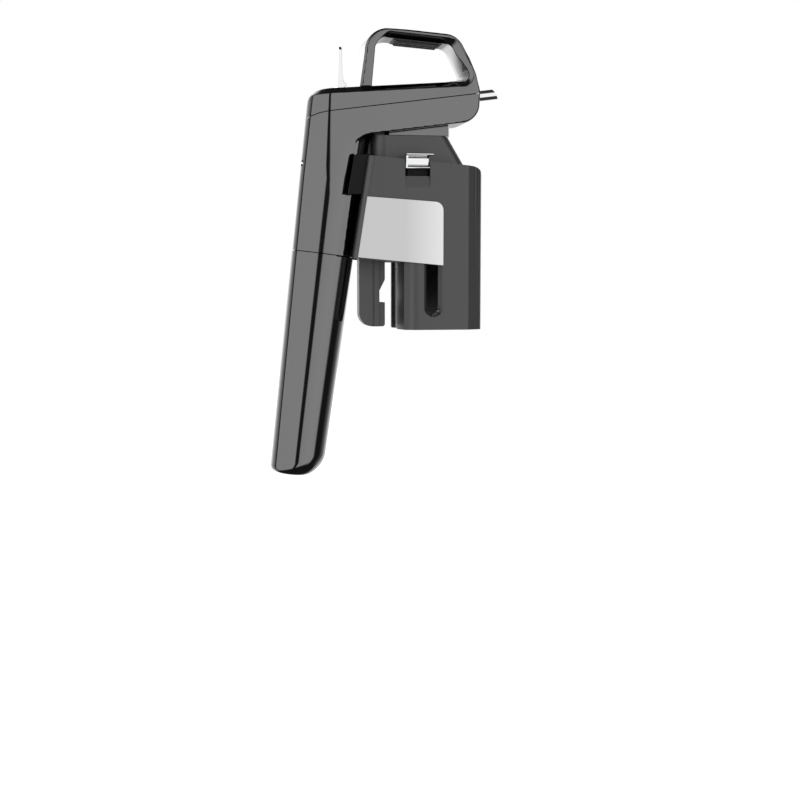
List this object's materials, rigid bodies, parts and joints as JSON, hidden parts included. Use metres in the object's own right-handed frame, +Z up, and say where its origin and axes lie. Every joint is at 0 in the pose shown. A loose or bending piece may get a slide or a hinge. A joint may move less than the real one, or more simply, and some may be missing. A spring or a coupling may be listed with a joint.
{
  "type": "wine preservation dispenser",
  "caption": "Hand-held wine dispenser: gas capsule in a leaning handle, needle head with loop grip, trigger and spout, sliding on a bottle neck clamp.",
  "frame": {"origin": "centre of the bottle mouth's plane, on the needle's axis, where the rubber mouth pad rests on the bottle", "axes": "+Z up along the needle, away from the bottle; +X towards the spout; +Y to the left of the spout"},
  "size_m": [0.1145, 0.0486, 0.2168],
  "materials": {
    "body_gloss": "dark metallic grey, high gloss",
    "clamp_matte": "fine matte",
    "side_plate": "satin",
    "black_plastic": "satin black",
    "bright_chrome": "polished",
    "needle_steel": "polished",
    "inner_steel": "turned",
    "inner_brass": "turned",
    "seal_rubber": "soft matte"
  },
  "bodies": {
    "clamp": {"clamp_shell": "clamp_matte", "clamp_back_plate": "black_plastic", "guide_tower": "clamp_matte", "side_plate_right": "side_plate", "side_plate_left": "side_plate", "slide_shoe_right": "black_plastic", "slide_shoe_left": "black_plastic", "rail_guide_right": "black_plastic", "rail_guide_left": "black_plastic", "neck_liner": "seal_rubber", "mouth_pad": "seal_rubber", "needle_guide": "needle_steel", "jaw_pins": "inner_steel", "jaw_springs": "inner_steel", "tower_screws": "inner_steel"},
    "jaw_right": {"jaw_lever_right": "black_plastic", "release_tab_right": "bright_chrome", "jaw_pad_right": "seal_rubber"},
    "jaw_left": {"jaw_lever_left": "black_plastic", "release_tab_left": "bright_chrome", "jaw_pad_left": "seal_rubber"},
    "head": {"body_shell": "body_gloss", "top_cover": "body_gloss", "grip_inlay": "black_plastic", "guide_rail": "clamp_matte", "rail_screws": "inner_steel", "wedge_seat": "body_gloss", "cover_screws": "inner_steel", "vent_plug": "bright_chrome", "manifold": "inner_brass", "needle_ferrule": "needle_steel", "needle": "needle_steel", "needle_seal": "seal_rubber", "spout_tube": "bright_chrome", "spout_collar": "inner_steel", "spout_seal": "seal_rubber", "gas_tube": "inner_steel", "gas_valve_body": "inner_brass", "gas_riser": "inner_steel", "regulator_body": "inner_brass", "regulator_cap": "inner_steel", "regulator_piston": "inner_steel", "regulator_spring": "inner_steel", "capsule_piercer": "needle_steel", "capsule_seal": "seal_rubber", "trigger_pin": "inner_steel", "trigger_spring": "inner_steel"},
    "trigger": {"trigger": "bright_chrome"},
    "valve": {"valve_stem": "inner_steel"},
    "capsule": {"gas_capsule": "inner_steel"},
    "cup": {"capsule_cup": "body_gloss", "cup_thread_ring": "inner_brass", "cup_base_pad": "seal_rubber"}
  },
  "joints": [
    {"name": "head_lift", "type": "slide", "parent": "clamp", "child": "head", "axis": [0, 0, 1], "range_m": [0, 0.056]},
    {"name": "jaw_right_squeeze", "type": "hinge", "parent": "clamp", "child": "jaw_right", "pos_m": [0, -0.0176, -0.0085], "axis": [-1, 0, 0], "range_deg": [0, 6], "stiffness_Nm_per_rad": 0.4, "springref_deg": -8.59},
    {"name": "jaw_left_squeeze", "type": "hinge", "parent": "clamp", "child": "jaw_left", "pos_m": [0, 0.0176, -0.0085], "axis": [1, 0, 0], "range_deg": [0, 6], "stiffness_Nm_per_rad": 0.4, "springref_deg": -8.59},
    {"name": "trigger_pull", "type": "hinge", "parent": "head", "child": "trigger", "pos_m": [-0.0505, 0, 0.0355], "axis": [0, 1, 0], "range_deg": [0, 12], "stiffness_Nm_per_rad": 0.3, "springref_deg": -8.59},
    {"name": "valve_push", "type": "slide", "parent": "head", "child": "valve", "axis": [-1, 0, 0], "range_m": [0, 0.0014]},
    {"name": "capsule_travel", "type": "slide", "parent": "head", "child": "capsule", "axis": [-0.1271, 0, -0.9919], "range_m": [0, 0.006]},
    {"name": "cup_turn", "type": "hinge", "parent": "capsule", "child": "cup", "pos_m": [-0.0595, 0, -0.0378], "axis": [-0.1271, 0, -0.9919], "range_deg": [0, 1080]}
  ],
  "couplings": [
    {"joint": "valve_push", "follows": "trigger_pull", "m_per_rad": 0.0066},
    {"joint": "cup_turn", "follows": "capsule_travel", "rad_per_m": 3141.6}
  ]
}
